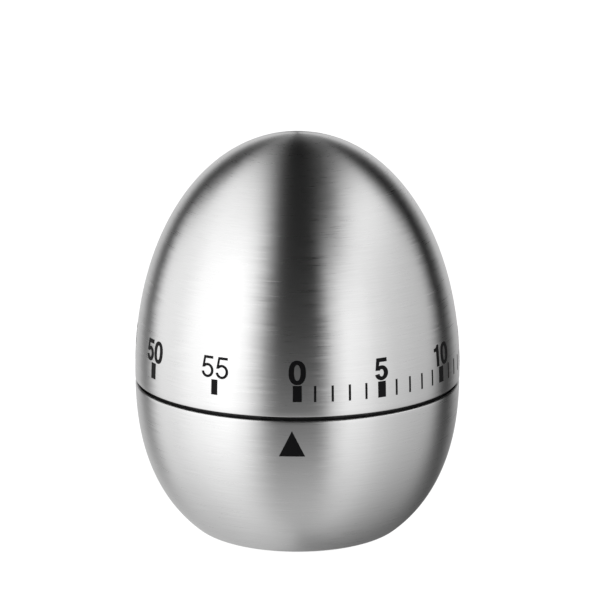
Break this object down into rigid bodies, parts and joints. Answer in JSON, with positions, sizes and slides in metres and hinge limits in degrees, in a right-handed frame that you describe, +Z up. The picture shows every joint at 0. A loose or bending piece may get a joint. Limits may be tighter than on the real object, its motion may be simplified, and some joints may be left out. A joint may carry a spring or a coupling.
{
  "type": "kitchen timer",
  "caption": "Egg-shaped brushed-steel clockwork kitchen timer; the upper shell is the dial and winds a geared movement that rings a bell.",
  "frame": {"origin": "centre of the round footprint, on the surface the timer stands on", "axes": "+Z up along the egg and the dial axis, -Y towards the pointer, +X to the right of the pointer"},
  "size_m": [0.06, 0.06, 0.0752],
  "materials": {
    "shell_steel": "stainless steel, brushed round the egg",
    "black_plastic": "fine-grained black ABS",
    "foot_rubber": "matt black rubber",
    "plate_steel": "zinc-plated steel",
    "screw_steel": "zinc-plated steel screws",
    "arbor_steel": "turned and stamped bright steel",
    "spring_steel": "blued spring steel",
    "brass": "stamped brass",
    "bell_metal": "nickel-plated bell steel",
    "acetal": "natural white acetal"
  },
  "bodies": {
    "base": {"base_shell": "shell_steel", "base_housing": "black_plastic", "bottom_cover": "black_plastic", "foot_ring": "foot_rubber", "lower_plate": "plate_steel", "upper_plate": "plate_steel", "bell_post": "plate_steel", "bell_nut": "plate_steel", "pillar_nut_1": "plate_steel", "pillar_nut_2": "plate_steel", "pillar_nut_3": "plate_steel", "cover_screw_1": "screw_steel", "cover_screw_2": "screw_steel", "cover_screw_3": "screw_steel", "mount_screw_1": "screw_steel", "mount_screw_2": "screw_steel", "mount_screw_3": "screw_steel", "trip_pivot_post": "arbor_steel", "spring_post": "arbor_steel", "stop_post": "arbor_steel", "mainspring": "spring_steel", "trip_spring": "spring_steel", "pillar_1": "brass", "pillar_2": "brass", "pillar_3": "brass", "bell": "bell_metal"},
    "dial": {"dial_shell": "shell_steel", "dial_liner": "black_plastic", "main_arbor": "arbor_steel", "cam_disc": "brass", "ratchet_wheel": "arbor_steel", "arbor_clip": "spring_steel"},
    "main_wheel_body": {"main_wheel": "brass", "click_rivet": "arbor_steel", "click_spring": "spring_steel"},
    "click_body": {"click": "arbor_steel"},
    "second_body": {"second_arbor": "arbor_steel", "second_pinion": "brass", "second_wheel": "brass", "strike_star": "brass"},
    "third_body": {"third_arbor": "arbor_steel", "third_pinion": "brass", "third_wheel": "brass"},
    "escape_body": {"escape_arbor": "arbor_steel", "escape_pinion": "brass", "escape_wheel": "brass"},
    "pallet_body": {"pallet_arbor": "arbor_steel", "pallet_anchor": "acetal", "pallet_pin_1": "arbor_steel", "pallet_pin_2": "arbor_steel", "inertia_bar": "brass"},
    "hammer_body": {"strike_arbor": "arbor_steel", "strike_anchor": "arbor_steel", "hammer_arm": "arbor_steel", "hammer_head": "brass"},
    "trip_body": {"trip_lever": "arbor_steel"}
  },
  "joints": [
    {"name": "dial_turn", "type": "hinge", "parent": "base", "child": "dial", "pos_m": [0, 0, 0.018], "axis": [0, 0, 1], "range_deg": [-354, 0], "deforming": ["mainspring"]},
    {"name": "main_wheel_turn", "type": "hinge", "parent": "base", "child": "main_wheel_body", "pos_m": [0, 0, 0.018], "axis": [0, 0, 1], "continuous": true},
    {"name": "click_lift", "type": "hinge", "parent": "main_wheel_body", "child": "click_body", "pos_m": [0.00749, -0.00018, 0.018], "axis": [0, 0, 1], "range_deg": [0, 8], "stiffness_Nm_per_rad": 0.0005, "deforming": ["click_spring"]},
    {"name": "second_wheel_turn", "type": "hinge", "parent": "base", "child": "second_body", "pos_m": [-0.0126, 0, 0.018], "axis": [0, 0, 1], "continuous": true},
    {"name": "third_wheel_turn", "type": "hinge", "parent": "base", "child": "third_body", "pos_m": [-0.00996, 0.00985, 0.018], "axis": [0, 0, 1], "continuous": true},
    {"name": "escape_wheel_turn", "type": "hinge", "parent": "base", "child": "escape_body", "pos_m": [-0.00152, 0.01443, 0.018], "axis": [0, 0, 1], "continuous": true},
    {"name": "pallet_swing", "type": "hinge", "parent": "base", "child": "pallet_body", "pos_m": [0.00503, 0.01363, 0.018], "axis": [0, 0, 1], "range_deg": [-7, 7]},
    {"name": "hammer_swing", "type": "hinge", "parent": "base", "child": "hammer_body", "pos_m": [-0.01076, -0.01044, 0.018], "axis": [0, 0, 1], "range_deg": [-5, 5]},
    {"name": "trip_lever_swing", "type": "hinge", "parent": "base", "child": "trip_body", "pos_m": [0.00775, -0.0134, 0.018], "axis": [0, 0, 1], "range_deg": [0, 10.5], "deforming": ["trip_spring"]}
  ],
  "couplings": [
    {"joint": "main_wheel_turn", "follows": "dial_turn", "ratio": 1},
    {"joint": "second_wheel_turn", "follows": "dial_turn", "ratio": -6},
    {"joint": "third_wheel_turn", "follows": "dial_turn", "ratio": 45},
    {"joint": "escape_wheel_turn", "follows": "dial_turn", "ratio": -315}
  ]
}
